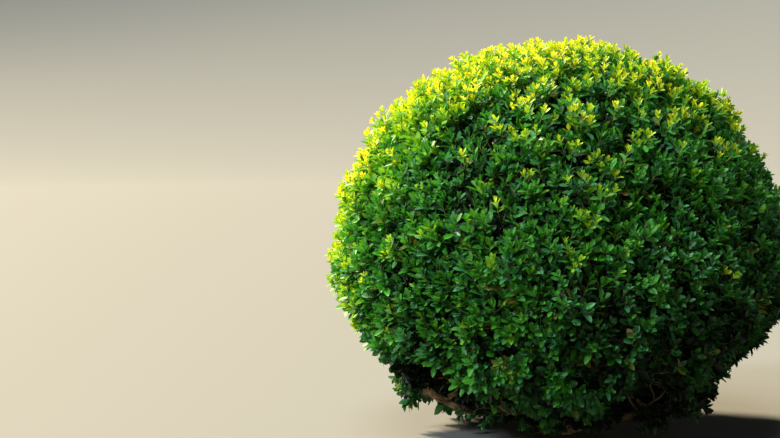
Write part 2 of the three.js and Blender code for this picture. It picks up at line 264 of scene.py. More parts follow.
PAIR_TURN_VARIETY = 0.14
OPENING_VARIETY = 7  # degrees
ODD_WAY = np.array((0.31, 0.17, 0.93))  # hardly any shoot heads this way
LIGHT_OUT = 0.8  # leaves face the light, which comes from outside the ball and from above
LIGHT_UP = 0.7
LIGHT_PULL = (0.2, 1.2)
FACE_VARIETY = 0.27
SHOOT_BARE = 0.05  # at a shoot's foot, as a share of it
GROUND_ROOM = 0.6  # of a leaf's length, kept free over the ground
LEAF_TILES = 4  # a side of a square of tiles, in which the leaves lie on their map
LEAF_MAP_WIDTH = 1.7  # how much wider than life, in its tile
LEAF_MAP_MARGIN = 0.05
LEAF_MAP_LENGTH = 0.9
MOST_LEAVES = 32000  # in one piece, so that it stays under 200,000 triangles

# Leaf finishes: colour of the blade, of light through it and of the rib, roughness, and how much light
# comes through.
LEAF_LOOKS = {
    # shade: a near-black copy of the old leaves, painted shade deep in the crown. The old finishes up to
    # fresh are partly the leaves' own tones and partly lighter and darker copies by painted sunlight and
    # shade.
    "shade": ("#0c1e0b", "#173c0e", "#183214", 0.54, 0.08),
    "old_dark": ("#1a481b", "#347a18", "#3a6c34", 0.5, 0.14),
    "old_blue": ("#25673b", "#3f8f22", "#57905a", 0.48, 0.16),
    "old_green": ("#2a7a1f", "#55a81c", "#5d9c3c", 0.5, 0.2),
    "fresh": ("#5a9c14", "#90c616", "#86b438", 0.52, 0.28),
    # New growth: three copies from darker to lighter, partly its own variety and partly painted sunlight.
    "new_green": ("#70a40e", "#a8ca10", "#98bc38", 0.5, 0.34),
    "new_soft": ("#9ebc10", "#d2dc18", "#bccd42", 0.5, 0.36),
    "new_bright": ("#cccd1c", "#f4ea2c", "#e2dc58", 0.5, 0.38),
    "olive": ("#5c7022", "#8c9c32", "#849046", 0.52, 0.2),
    "tan": ("#86703c", "#a58443", "#a58f5c", 0.6, 0.1),
}

# A shoot's pairs from the tip down: distance, leaf size, opening in degrees, chance to be there.
OLD_PAIRS = (
    (1.5, 0.42, 16, 1.0), (6.0, 0.74, 27, 1.0), (12.5, 0.96, 38, 1.0), (20.5, 1.0, 47, 0.98),
    (29.5, 1.02, 55, 0.92), (39.5, 0.96, 62, 0.8), (50.0, 0.9, 68, 0.6),
)
NEW_PAIRS = (
    (1.0, 0.7, 14, 1.0), (4.5, 1.05, 27, 1.0), (9.0, 1.2, 39, 1.0), (15.5, 1.5, 46, 1.0),
    (24.0, 1.8, 54, 0.95), (33.5, 1.8, 62, 0.85), (44.0, 1.7, 68, 0.6),
)
NEW_RANKS = 3  # how many pairs of a new shoot have the colour of new growth

# The hem of the skirt: bearing in degrees and height in millimetres. It is open over the first two boughs.
HEM = (
    (0, 36), (40, 52), (75, 30), (100, 26), (125, 48), (150, 26), (170, 40), (184, 112), (196, 150),
    (214, 174), (228, 164), (234, 128), (238, 34), (262, 22), (284, 28), (290, 72), (296, 122), (303, 152),
    (310, 146), (316, 104), (332, 92), (346, 50), (360, 36),
)

# Which way the low sun comes from. Leaves on that side get lighter, yellower finishes: partly leaves that
# grow yellower in the sun, partly painted sunlight.
SUN = np.array((-0.6, 0.53, 0.6)) / math.hypot(0.6, 0.53, 0.6)
SUNNY_FROM = 0.2
SUNNY_SPAN = 0.6

# A leaf's tone: where it starts, what its bunch, its height and the sun add, what each pair down the shoot
# takes off, and how much it varies by chance. What the sun adds is partly painted sunlight. The steps part
# the finishes of old leaves.
TONE = dict(base=0.455, bunch=0.34, height=0.04, sun=0.54, rank=0.02, vary=0.11)
TONE_STEPS = (0.1, 0.34, 0.5, 0.84)
# Painted shade: the way of the darkest leaves, low on the side away from the sun and the lights.
SHADY_SIDE = np.array((0.72, -0.28, -0.63))
SHADY_GAIN = 0.7
SHADY_FROM = 0.35
SHADY_MOST = 0.5
LOW_SHADE = 0.26  # how much painted shade darkens the leaves on the shoots of LOW_PLACES, low in the open skirt
LIT_DEPTH = (13 * MM, 25 * MM)  # depth under the surface from where painted shade darkens the leaves, low down and higher up
LIT_RISE = 2.5  # how fast it changes with the height
# How much painted shade darkens the deepest leaves, and over what depth it comes on.
PAINTED_SHADE_GAIN = 0.85
PAINTED_SHADE_DEPTH = 22 * MM
HOLLOW_LIGHT = 0.5  # 1 where leaves in the hollows between the clumps get no more painted shade than the rest
# The same for new growth, which is yellower the brighter it is. What its height and the sun add is partly
# painted sunlight, on the top and on the sun side.
BRIGHT = dict(base=0.2, bunch=0.7, height=0.55, sun=0.5, rank=0.08, vary=0.14)
BRIGHT_STEPS = (0.5, 0.9)
# Worn leaves: the bunches that have many, and how likely one is in those and in the others.
SALLOW_FROM = 0.95
SALLOW_HEIGHT = 0.5
OLIVE_CHANCE = (0.55, 0.016)
TAN_CHANCE = (0.045, 0.004)
TAN_SHRINK = 0.72

# Stems: pale and dark streaks, and roughness. Bark and cut wood: dark and pale.
STEM_LOOKS = {
    "box_stem_new": ("#9fb83a", "#6d8c26", 0.5),
    "box_stem_young": ("#857a3e", "#5a5628", 0.6),
    "box_twig_bark": ("#6d5f49", "#3d3226", 0.8),
    "box_bare_bark": ("#8f7956", "#54432e", 0.85),
}
BARK_RIDGES = ("#7d6245", "#bfa57c")
BARK_CRACKS = "#2c2016"
CUT_WOOD = ("#8f7650", "#d2bd92")
LEAF_IOR = 1.45
WOOD_IOR = 1.5

# The studio: a pale floor that turns up at its edge, a dim sky, and three lights.
FLOOR_RADIUS = 8.0
FLOOR_CURVE = 9.0
FLOOR_TURN = math.radians(45)
FLOOR_RINGS = 40
FLOOR_SIDES = 96
PAPER = "#686866"
PAPER_ROUGHNESS = 0.9
WORLD_COLOUR = "#c4d2e0"
WORLD_STRENGTH = 0.045
# Name, the way it comes from, softness in degrees, strength, colour.
STUDIO_LIGHTS = (
    ("key", SUN, 11, 13.0, "#ffebc4"),
    ("sky", (-0.25, -0.25, 0.93), 36, 3.1, "#eaf5f2"),
    ("fill", (-0.7, -0.5, 0.6), 14, 3.4, "#eaf5fb"),
)
LIGHT_DISTANCE = 4
CAMERA_LENS = 78.5
CAMERA_SENSOR = 36
CAMERA_PLACE = (0, -3.3, 0.68)
CAMERA_DIP = 4.64  # degrees under level
CAMERA_TURN = 5.71  # degrees to the left


def seeded(seed):
    """The source's repeatable random numbers."""
    state = seed
    mask = 0xFFFFFFFF
    while True:
        state = (state + 0x6D2B79F5) & mask
        mixed = ((state ^ (state >> 15)) * (1 | state)) & mask
        mixed = ((mixed + ((mixed ^ (mixed >> 7)) * (61 | mixed) & mask)) & mask) ^ mixed
        yield (mixed ^ (mixed >> 14)) / 4294967296


def lerp(first, last, share):
    return first + (last - first) * share


def unit(vectors):
    return vectors / np.maximum(np.linalg.norm(vectors, axis=-1, keepdims=True), 1e-9)


def rising(values, start, span):
    """0 up to the start, and from there up to 1 over the span."""
    return np.clip((values - start) / span, 0, 1)


def polar(angle, distance, height):
    return np.array((math.cos(angle) * distance, math.sin(angle) * distance, height))


def reach_along(directions):
    """Distance from the waist's middle to the clipped surface, along unit directions."""
    x, y, z = np.moveaxis(directions, -1, 0)
    rising = z >= 0
    depth = np.where(rising, BALL_HEIGHT - WAIST_HEIGHT, WAIST_HEIGHT)
    power = np.where(rising, DOME_SQUARENESS, SKIRT_SQUARENESS)
    flatness = np.hypot(x, y)
    bearing = np.arctan2(y, x)
    level = np.arcsin(np.clip(z, -1, 1))
    swell = sum(
        share * np.sin(rounds * bearing + ups * np.pi * level + start)
        for share, rounds, ups, start in SWELLS
    )
    along = (flatness / (BALL_WIDTH / 2)) ** power + (np.abs(z) / depth) ** power
    return along ** (-1 / power) * (1 + swell * flatness)


def share_out(places):
    """How far out in the ball places are: 0 at the waist's middle, 1 on the clipped surface."""
    offsets = places - WAIST
    return np.linalg.norm(offsets, axis=-1) / reach_along(unit(offsets))


def hermite(foot, foot_way, tip, tip_way, share):
    """Points and headings along smooth curves. The first four are (N, 3), share is (N, S) or (S,)."""
    s = np.broadcast_to(share, (len(foot), np.shape(share)[-1]))[..., None]
    ends = [v[:, None] for v in (foot, foot_way, tip, tip_way)]
    weights = (2 * s**3 - 3 * s**2 + 1, s**3 - 2 * s**2 + s, 3 * s**2 - 2 * s**3, s**3 - s**2)
    slopes = (6 * s**2 - 6 * s, 3 * s**2 - 4 * s + 1, 6 * s - 6 * s**2, 3 * s**2 - 2 * s)
    points = sum(weight * end for weight, end in zip(weights, ends))
    headings = sum(slope * end for slope, end in zip(slopes, ends))
    return points, unit(headings)


def evenly(points):
    """A curve's samples as a function of the share of its length."""
    steps = np.linalg.norm(np.diff(points, axis=0), axis=1)
    length = np.concatenate(([0], np.cumsum(steps)))

    def place(share):
        return np.stack([np.interp(np.asarray(share) * length[-1], length, c) for c in points.T], axis=-1)

    return place, length[-1]


def bent_path(a, b, c):
    """A quadratic curve through two ends, drawn towards a middle point."""
    t = np.linspace(0, 1, BEND_SAMPLES)[:, None]
    return evenly((1 - t) ** 2 * a + 2 * t * (1 - t) * b + t**2 * c)


def smooth_path(points):
    """A centripetal curve through all of its points, as the source draws its boughs."""
    points = np.array(points)
    padded = np.vstack((2 * points[0] - points[1], points, 2 * points[-1] - points[-2]))
    gaps = np.sqrt(np.linalg.norm(np.diff(padded, axis=0), axis=1))
    samples = []
    for i in range(1, len(padded) - 2):
        p0, p1, p2, p3 = padded[i - 1 : i + 3]
        g0, g1, g2 = gaps[i - 1 : i + 2]
        leave = g1 * ((p1 - p0) / g0 - (p2 - p0) / (g0 + g1) + (p2 - p1) / g1)
        arrive = g1 * ((p2 - p1) / g1 - (p3 - p1) / (g1 + g2) + (p3 - p2) / g2)
        share = np.linspace(0, 1, STRETCH_SAMPLES)
        curve, _ = hermite(p1[None], leave[None], p2[None], arrive[None], share)
        samples.append(curve[0])
    return evenly(np.vstack(samples))


def linear(hex_colour):
    """An sRGB hex colour as linear values."""
    shares = [int(hex_colour[i : i + 2], 16) / 255 for i in (1, 3, 5)]
    return tuple(s / 12.92 if s <= 0.04045 else ((s + 0.055) / 1.055) ** 2.4 for s in shares) + (1.0,)


def node(tree, kind, settings=None, inputs=None):
    """Adds a node, with its settings, and its inputs as values or as links from other nodes."""
    made = tree.nodes.new(kind)
    for name, value in (settings or {}).items():
        setattr(made, name, value)
    for name, value in (inputs or {}).items():
        if isinstance(value, bpy.types.NodeSocket):
            tree.links.new(value, made.inputs[name])
        else:
            made.inputs[name].default_value = value
    return made


def blank_material(name):
    material = bpy.data.materials.new(name)
    material.use_nodes = True
    material.node_tree.nodes.clear()
    return material, material.node_tree


def figured(tree, operation, *values):
    """One step of arithmetic on values or on other nodes' outputs."""
    return node(tree, "ShaderNodeMath", {"operation": operation}, dict(enumerate(values))).outputs[0]


def moved(tree, operation, vector, **inputs):
    """One step of arithmetic on a vector."""
    return node(tree, "ShaderNodeVectorMath", {"operation": operation}, {0: vector, **inputs}).outputs[0]


def ranged(tree, value, found=(0.0, 1.0), given=(0.0, 1.0)):
    """A value, with the range that it is found in stretched to the one given."""
    ends = dict(zip(("From Min", "From Max", "To Min", "To Max"), (*found, *given)))
    return node(tree, "ShaderNodeMapRange", {}, {"Value": value, **ends}).outputs[0]


def blend(tree, share, *ends):
    """A colour between two, which are hex colours or other nodes' outputs."""
    first, last = (linear(end) if isinstance(end, str) else end for end in ends)
    return node(tree, "ShaderNodeMix", {"data_type": "RGBA"}, {0: share, 6: first, 7: last}).outputs[2]


def cloud(tree, place, scale, detail, **more):
    """Cloudy noise from 0 to 1, read at a place."""
    inputs = {"Vector": place, "Scale": scale, "Detail": detail, **more}
    return node(tree, "ShaderNodeTexNoise", {}, inputs).outputs[0]


def surface_of(tree, colour, roughness, **more):
    inputs = {"Base Color": colour, "Roughness": roughness, **more}
    return node(tree, "ShaderNodeBsdfPrincipled", {}, inputs).outputs[0]


def give_surface(tree, shader):
    node(tree, "ShaderNodeOutputMaterial", {}, {"Surface": shader})


def leaf_material(name, blade, glow, rib, roughness, thinness):
    """Box leaf: a small leathery blade under a wax skin. The eye gets a soft gloss on dark green, a paler
    rib, and a yellower glow where light comes through. The pattern reads the leaf's own map, where each
    leaf lies in one of sixteen tiles, and each tile has its own tint."""
    material, tree = blank_material(name)
    spot = node(tree, "ShaderNodeUVMap", {"uv_map": "OFBake"}).outputs[0]
    tiled = moved(tree, "SCALE", spot, Scale=LEAF_TILES)
    tile = moved(tree, "FLOOR", tiled)
    local = moved(tree, "FRACTION", tiled)
    chance = node(tree, "ShaderNodeTexWhiteNoise", {"noise_dimensions": "3D"}, {"Vector": tile})
    draws = node(tree, "ShaderNodeSeparateColor", {}, {0: chance.outputs["Color"]})
    across = node(tree, "ShaderNodeSeparateXYZ", {}, {0: local}).outputs[0]
    away = figured(tree, "ABSOLUTE", figured(tree, "SUBTRACT", across, 0.5))
    rib_line = ranged(tree, away, (0.02, 0.07), (0.75, 0.0))
    mottle = cloud(tree, tiled, 3.0, 2.0)
    bright = ranged(tree, draws.outputs[0], given=(0.72, 1.3))
    cloudy = ranged(tree, mottle, (0.3, 0.7), (0.88, 1.12))
    shade = figured(tree, "MULTIPLY", bright, cloudy)
    warmth = ranged(tree, draws.outputs[1], given=(0.0, 0.3))
    ribbed = blend(tree, rib_line, blend(tree, warmth, blade, glow), rib)
    shaded = moved(tree, "SCALE", ribbed, Scale=shade)
    waxed = ranged(tree, mottle, given=(roughness - 0.02, roughness + 0.1))
    skin = surface_of(tree, shaded, waxed, IOR=LEAF_IOR)
    lit = blend(tree, 0.75, shaded, glow)
    through = node(tree, "ShaderNodeBsdfTranslucent", {}, {"Color": lit}).outputs[0]
    leaf = node(tree, "ShaderNodeMixShader", {}, {0: thinness, 1: skin, 2: through}).outputs[0]
    give_surface(tree, leaf)
    return material


def stem_material(name, pale, dark, roughness):
    """Thin box stems, from the green of new shoots to the grey-brown bark of twigs and bare stems. The eye
    gets matt streaks along the stem. The pattern reads the stem's own map."""
    material, tree = blank_material(name)
    spot = node(tree, "ShaderNodeUVMap", {"uv_map": "OFBake"}).outputs[0]
    stretched = node(tree, "ShaderNodeMapping", {}, {"Vector": spot, "Scale": (9.0, 2.5, 1.0)}).outputs[0]
    share = ranged(tree, cloud(tree, stretched, 1.0, 3.0), (0.35, 0.65))
    give_surface(tree, surface_of(tree, blend(tree, share, dark, pale), roughness, IOR=LEAF_IOR))
    return material


def bark_material(name):
    """Old box bark: tan and corky, in narrow ridges along the limb. The eye gets pale dry ridges between dark
    cracks, all matt. The pattern reads the grain, which is the place round and along the limb in ridges."""
    material, tree = blank_material(name)
    along = node(tree, "ShaderNodeAttribute", {"attribute_name": "grain"}).outputs["Vector"]
    spot = node(tree, "ShaderNodeTexCoord").outputs["Object"]
    ridges = cloud(tree, along, 1.6, 5.0, Roughness=0.62)
    grain = cloud(tree, spot, 900.0, 3.0)
    patches = cloud(tree, spot, 60.0, 3.0)
    crack = ranged(tree, ridges, (0.36, 0.52))
    ridge = figured(tree, "MULTIPLY", crack, grain)
    weather = ranged(tree, patches, (0.35, 0.65))
    colour = blend(tree, crack, BARK_CRACKS, blend(tree, weather, *BARK_RIDGES))
    relief = node(tree, "ShaderNodeBump", {}, {"Strength": 0.9, "Distance": 1.4 * MM, "Height": ridge})
    rough = ranged(tree, grain, given=(0.8, 0.95))
    give_surface(tree, surface_of(tree, colour, rough, IOR=WOOD_IOR, Normal=relief.outputs[0]))
    return material


def cut_wood_material(name):
    """Sawn box wood, weathered: pale yellow-grey. The eye gets a matt face with the faint mottle of dry end
    grain."""
    material, tree = blank_material(name)
    spot = node(tree, "ShaderNodeTexCoord").outputs["Object"]
    mottle = cloud(tree, spot, 500.0, 3.0)
    give_surface(tree, surface_of(tree, blend(tree, mottle, *CUT_WOOD), 0.85, IOR=WOOD_IOR))
    return material


def mesh_from(name, vertices, triangles, corners, material):
    """A joined mesh from arrays: places, triangles and the map's place of each corner."""
    mesh = bpy.data.meshes.new(name)
    mesh.vertices.add(len(vertices))
    mesh.vertices.foreach_set("co", vertices.astype(np.float32).ravel())
    mesh.loops.add(triangles.size)
    mesh.loops.foreach_set("vertex_index", triangles.astype(np.int32).ravel())
    mesh.polygons.add(len(triangles))
    mesh.polygons.foreach_set("loop_start", np.arange(0, triangles.size, 3, dtype=np.int32))
    mesh.update(calc_edges=True)
    mesh.validate()
    mesh.polygons.foreach_set("use_smooth", np.ones(len(mesh.polygons), dtype=bool))
    layer = mesh.uv_layers.new(name="OFBake")
    layer.data.foreach_set("uv", corners.astype(np.float32).ravel())
    mesh.materials.append(material)
    piece = bpy.data.objects.new(name, mesh)
    bpy.context.scene.collection.objects.link(piece)
    return piece


def keep(piece, slot, *nodes):
    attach(piece, "root")
    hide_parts(*nodes)


def tubes(points, radii, sides):
    """Closed tapering tubes along rows of points (N, S, 3), each ending in a point."""
    count, rings = points.shape[:2]
    headings = unit(np.gradient(points, axis=1))
    chord = unit(points[:, -1] - points[:, 0])
    sideways = unit(np.cross(chord, np.where(np.abs(chord[:, 2:]) < UPRIGHT, UP, (1.0, 0.0, 0.0))))
    first = unit(np.cross(headings, np.broadcast_to(sideways[:, None], headings.shape)))
    second = np.cross(headings, first)
    angle = np.arange(sides) * 2 * np.pi / sides
    rim = np.cos(angle)[:, None] * first[:, :, None] + np.sin(angle)[:, None] * second[:, :, None]
    walls = points[:, :, None] + rim * radii[:, :, None, None]
    tips = points[:, -1] + headings[:, -1] * radii[:, -1:] * TUBE_TIP
    vertices = np.concatenate((walls.reshape(count, -1, 3), tips[:, None]), axis=1)
    ring, side = np.meshgrid(np.arange(rings - 1), np.arange(sides), indexing="ij")
    beside = (side + 1) % sides
    a, b = ring * sides + side, ring * sides + beside
    c, d = a + sides, b + sides
    wall = np.stack((np.stack((a, b, d), -1), np.stack((a, d, c), -1)), axis=2).reshape(-1, 3)
    last = (rings - 1) * sides
    cap = np.array([(last + i, last + (i + 1) % sides, rings * sides) for i in range(sides)])
    foot = np.array([(0, i + 1, i) for i in range(1, sides - 1)])
    u0, u1 = side / sides, (side + 1) / sides
    v0, v1 = ring / rings, (ring + 1) / rings
    at = [np.stack(corner, -1) for corner in ((u0, v0), (u1, v0), (u1, v1), (u0, v1))]
    halves = (np.stack((at[0], at[1], at[2]), 2), np.stack((at[0], at[2], at[3]), 2))
    wall_map = np.stack(halves, axis=2).reshape(-1, 3, 2)
    low = (rings - 1) / rings
    cap_map = np.array(
        [((i / sides, low), ((i + 1) / sides, low), ((i + 0.5) / sides, 1)) for i in range(sides)]
    )
    foot_map = np.zeros((len(foot), 3, 2))
    faces = np.concatenate((wall, cap, foot))
    maps = np.concatenate((wall_map, cap_map, foot_map))
    starts = np.arange(count) * (rings * sides + 1)
    return (
        vertices.reshape(-1, 3),
        (faces[None] + starts[:, None, None]).reshape(-1, 3),
        np.broadcast_to(maps, (count,) + maps.shape).reshape(-1, 3, 2),
    )


def joined(parts):
    """Several sets of arrays as one."""
    vertices, triangles, corners, start = [], [], [], 0
    for v, t, c in parts:
        vertices.append(v)
        triangles.append(t + start)
        corners.append(c)
        start += len(v)
    return np.concatenate(vertices), np.concatenate(triangles), np.concatenate(corners)


def bark_grain(angle, distance, radius, seed):
    """A place round and along a limb, counted in bark ridges."""
    around = radius / RIDGE_WIDTH
    along = distance / RIDGE_LENGTH + seed * GRAIN_SHIFT
    return Vector((math.cos(angle) * around, math.sin(angle) * around, along))


def bark_ridge(grain):
    """Height of the bark at a place in its grain, about -1 to 1."""
    fine = noise.noise(grain * FINE_RIDGE_SCALE + FINE_RIDGE_SHIFT)
    return noise.noise(grain) + FINE_RIDGE_HEIGHT * fine


def limb(name, path, length, radius_at, sides, rings, across, kinked, material):
    """One limb with bark: a cylinder cut into rings, laid along its path, with ridges along it."""
    bpy.ops.object.select_all(action="DESELECT")
    bpy.ops.mesh.primitive_cylinder_add(
        vertices=sides, radius=1, depth=1, end_fill_type="NGON", location=(0, 0, 0.5),
    )
    piece = bpy.context.object
    piece.name = piece.data.name = name
    bpy.ops.object.transform_apply(location=True)
    bpy.ops.object.mode_set(mode="EDIT")
    bpy.ops.mesh.select_mode(type="EDGE")
    bpy.ops.mesh.select_all(action="DESELECT")
    bpy.ops.object.mode_set(mode="OBJECT")
    mesh = piece.data
    for edge in mesh.edges:
        low, high = (mesh.vertices[i].co.z for i in edge.vertices)
        edge.select = abs(high - low) > 0.5
    bpy.ops.object.mode_set(mode="EDIT")
    bpy.ops.mesh.subdivide(number_cuts=rings - 1)
    bpy.ops.object.mode_set(mode="OBJECT")
    seed = sum(map(ord, name))
    grains = mesh.attributes.new("grain", "FLOAT_VECTOR", "POINT")
    shares = np.array([v.co.z for v in mesh.vertices])
    places = path(shares)
    kinks = np.array([noise.noise_vector(Vector((s * length / KINK_LENGTH, seed, 0))) for s in shares])
    places += kinks * (np.sin(shares * np.pi) * kinked)[:, None]
    ahead, behind = np.minimum(shares + HEADING_STEP, 1), np.maximum(shares - HEADING_STEP, 0)
    headings = unit(path(ahead) - path(behind))
    first = unit(np.cross(np.broadcast_to(across, headings.shape), headings))
    second = np.cross(headings, first)
    for vertex, share, place, u, v in zip(mesh.vertices, shares, places, first, second):
        angle = math.atan2(vertex.co.y, vertex.co.x)
        radius = radius_at(share, angle)
        grain = bark_grain(angle, share * length, radius, seed)
        grains.data[vertex.index].vector = grain
        radius *= 1 + RIDGE_DEPTH * bark_ridge(grain)
        vertex.co = place + (u * math.cos(angle) + v * math.sin(angle)) * radius
    mesh.materials.append(material)
    bpy.ops.object.shade_smooth()
    return piece


def cut_at_ground(piece):
    """Cuts a limb flat at ground level and closes the cut."""
    bpy.context.view_layer.objects.active = piece
    bpy.ops.object.mode_set(mode="EDIT")
    bpy.ops.mesh.select_all(action="SELECT")
    bpy.ops.mesh.bisect(
        plane_co=(0, 0, 0), plane_no=(0, 0, 1), clear_inner=True, use_fill=True, threshold=GROUND_CUT_SLACK,
    )
    bpy.ops.object.mode_set(mode="OBJECT")


def saw_cut(piece):
    """Gives the upper end of a sawn limb its bare wood."""
    piece.data.materials.append(cut_wood_material("box_cut_wood"))
    ends = [face for face in piece.data.polygons if len(face.vertices) > 4]
    max(ends, key=lambda face: face.center.z).material_index = 1


def trunk_radius(share, angle):
    height = lerp(-FLARE_HEIGHT, TRUNK_HEIGHT, share)
    flare = FLARE_GAIN * math.exp(-max(height, 0) / FLARE_HEIGHT)
    roots = 1 + FLARE_RELIEF * math.cos(FLARE_ROOTS * angle)
    return lerp(TRUNK_FOOT_RADIUS, TRUNK_TOP_RADIUS, share) * (1 + flare * roots)


def bough_plans():
    """The eight boughs and the forks of the first four, by the source's rule."""
    random = seeded(SEED)
    boughs, forks = [], []
    for i in range(BOUGH_COUNT):
        share = i / (BOUGH_COUNT - 1)
        radius, reach, foot, knee = (
            lerp(*ends, share) for ends in (BOUGH_RADIUS, BOUGH_REACH, BOUGH_FOOT, BOUGH_KNEE)
        )
        angle = FIRST_BOUGH_ANGLE + i * GOLDEN_ANGLE
        swayed = angle + (next(random) * 2 - 1) * BOUGH_SWAY
        knee_reach = reach * BOUGH_KNEE_SHARE
        path, length = smooth_path(
            (
                polar(angle, TRUNK_TOP_RADIUS / 2, foot),
                polar(swayed, knee_reach / 2, lerp(foot, knee, BOUGH_SAG)),
                polar(swayed, knee_reach, knee),
                polar(angle, reach, CORE_FLOOR),
                polar(angle, reach * BOUGH_SUNK_REACH, CORE_FLOOR + BOUGH_SUNK_HEIGHT),
            )
        )
        name = f"bough_{i + 1}"
        boughs.append(dict(name=name, angle=angle, reach=reach, path=path, length=length, radius=radius))
    for i, parent in enumerate(boughs[:FORK_COUNT]):
        angle = parent["angle"] + (-1 if i % 2 else 1) * FORK_SWAY
        foot = parent["path"](FORK_PLACE)
        distance = parent["reach"] * FORK_PLACE
        path, length = bent_path(
            foot,
            polar(angle, distance, (foot[2] + CORE_FLOOR) / 2),
            polar(angle, distance * FORK_BACK_SHARE, CORE_FLOOR + FORK_SUNK),
        )
        name = parent["name"] + "_fork"
        forks.append(dict(name=name, path=path, length=length, radius=parent["radius"] * FORK_RADIUS_SHARE))
    return boughs, forks


def stub_plan(parent):
    """A sawn-off branch: straight, short, and nearly as thick as its bough."""
    foot = parent["path"](STUB_PLACE)
    tip = foot + np.array(STUB_WAY) * STUB_LENGTH
    return bent_path(foot, (foot + tip) / 2, tip)


def stub_radius(share, _angle):
    return lerp(*STUB_RADIUS, share)


def bare_stems():
    """The bare stems that show in the open skirt, as tubes with a few kinks."""
    made = []
    for stops, radius in BARE_STEMS:
        path, _ = smooth_path(np.array(stops) * MM)
        share = np.linspace(0, 1, BARE_STEM_RINGS)
        points = path(share) + rng.normal(0, BARE_STEM_VARIETY, (BARE_STEM_RINGS, 3)) * BARE_STEM_KINK
        made.append(tubes(points[None], lerp(*radius, share)[None] * MM, BARE_STEM_SIDES))
    return joined(made)


def tapered(plan, foot_share):
    """The radius along a bough or fork, which swells at its foot. A fork starts narrow inside its bough."""

    def radius_at(share, _angle):
        swollen = 1 + BOUGH_COLLAR_GAIN * math.exp(-share / BOUGH_COLLAR_LENGTH)
        inside = 1
        if share < foot_share:
            inside = lerp(FORK_START_SHARE, 1, math.sin(share / foot_share * math.pi / 2))
        return plan["radius"] * lerp(1, BOUGH_TIP_SHARE, share) * swollen * inside

    return radius_at


def spread(count, highest, lowest, jitter):
    """Directions spread evenly over the ball by the golden angle, each a little off its place."""
    index = np.arange(count)
    sine = lerp(highest, lowest, (index + 0.5) / count)
    cosine = np.sqrt(1 - sine**2)
    bearing = index * GOLDEN_ANGLE
    directions = np.stack((np.cos(bearing) * cosine, np.sin(bearing) * cosine, sine), axis=1)
    spacing = math.sqrt(4 * math.pi / count)
    return unit(directions + rng.normal(size=(count, 3)) * spacing * jitter)


def aims(directions, loose):
    """The way that growth heads at each direction: outwards, lifted towards the light about the waist."""
    lift = SPRAY_LIFT * np.maximum(0, 1 - np.abs(directions[:, 2:]) / SPRAY_LIFT_END)
    return unit(directions + UP * lift + loose)


def spray_looseness():
    """How far each of the source's sprays strays from its aim, from the source's own draws."""
    random = seeded(SEED + 1)
    draws = np.array([[next(random) for _ in range(SPRAY_DRAWS)] for _ in range(SPRAY_COUNT)])
    return (draws[:, :3] * 2 - 1) * SPRAY_WANDER


def pool_of(places, ways, radii, clump=-1, bunch=-1):
    """Places that finer growth can start from. Those of a clump or a bunch of shoots keep its number."""
    clump, bunch = (np.broadcast_to(number, len(places)) for number in (clump, bunch))
    return dict(place=places, way=ways, radius=radii, share=share_out(places), clump=clump, bunch=bunch)


def merged(pools):
    return {key: np.concatenate([pool[key] for pool in pools]) for key in pools[0]}


def nearest(ends, shares, pool):
    """For each end, the place that it grows from: near, deeper in the ball, and heading its way."""
    chosen = np.empty(len(ends), dtype=int)
    for start in range(0, len(ends), NEAREST_BATCH):
        part = slice(start, start + NEAREST_BATCH)
        gaps = ends[part, None] - pool["place"][None]
        distance = np.linalg.norm(gaps, axis=2)
        ahead = (gaps * pool["way"]).sum(axis=2) / np.maximum(distance, 1e-6)
        cost = distance * (1 - AHEAD_GAIN * ahead)
        cost[pool["share"][None] > shares[part, None] - DEEPER_BY] += SHALLOW_COST
        chosen[part] = cost.argmin(axis=1)
    return chosen


def grown(ends, ways, pool, chosen, radius, rings):
    """Smooth twigs from their places in the pool to the ends: points, headings, radii, and their curves."""
    feet = pool["place"][chosen]
    gap = ends - feet
    length = np.linalg.norm(gap, axis=1, keepdims=True)
    leave = unit(pool["way"][chosen] + unit(gap)) * length
    arrive = ways * length
    share = np.linspace(0, 1, rings)
    points, headings = hermite(feet, leave, ends, arrive, share)
    start = np.minimum(radius[0], pool["radius"][chosen])
    radii = start[:, None] + (radius[1] - start[:, None]) * share
    return points, headings, np.maximum(radii, radius[1] * THINNEST_SHARE), (feet, leave, ends, arrive)


def grow_level(level, pool, own=None, loose=None):
    """One level of limbs in the crown, and the places that the next level can start from."""
    directions = spread(level["count"], *level["band"], level["jitter"])
    if loose is None:
        loose = rng.uniform(-1, 1, size=directions.shape) * level["wander"]
    ways = aims(directions, loose)
    share = level["share"] + rng.uniform(-1, 1, size=len(directions)) * level["vary"]
    ends = WAIST + directions * (reach_along(directions) * share)[:, None]
    kept = np.flatnonzero(ends[:, 2] > hem_height(ends) + HEM_MARGIN)
    ends, ways = ends[kept], ways[kept]
    chosen = nearest(ends, share_out(ends), pool)
    points, headings, radii, _ = grown(ends, ways, pool, chosen, level["radius"], level["rings"])
    numbers = {key: pool[key][chosen] for key in ("clump", "bunch")}
    if own:
        numbers[own] = kept
    middle = int(level["rings"] * MIDDLE_SHARE)
    pools = [pool_of(points[:, at], headings[:, at], radii[:, at], **numbers) for at in (-1, middle)]
    return tubes(points, radii, level["sides"]), merged(pools)


def bearings(places):
    return np.degrees(np.arctan2(places[:, 1], places[:, 0])) % 360


def hem_height(places):
    """How high the skirt's hem is at each place's bearing."""
    return np.interp(bearings(places), *np.transpose(HEM)) * MM


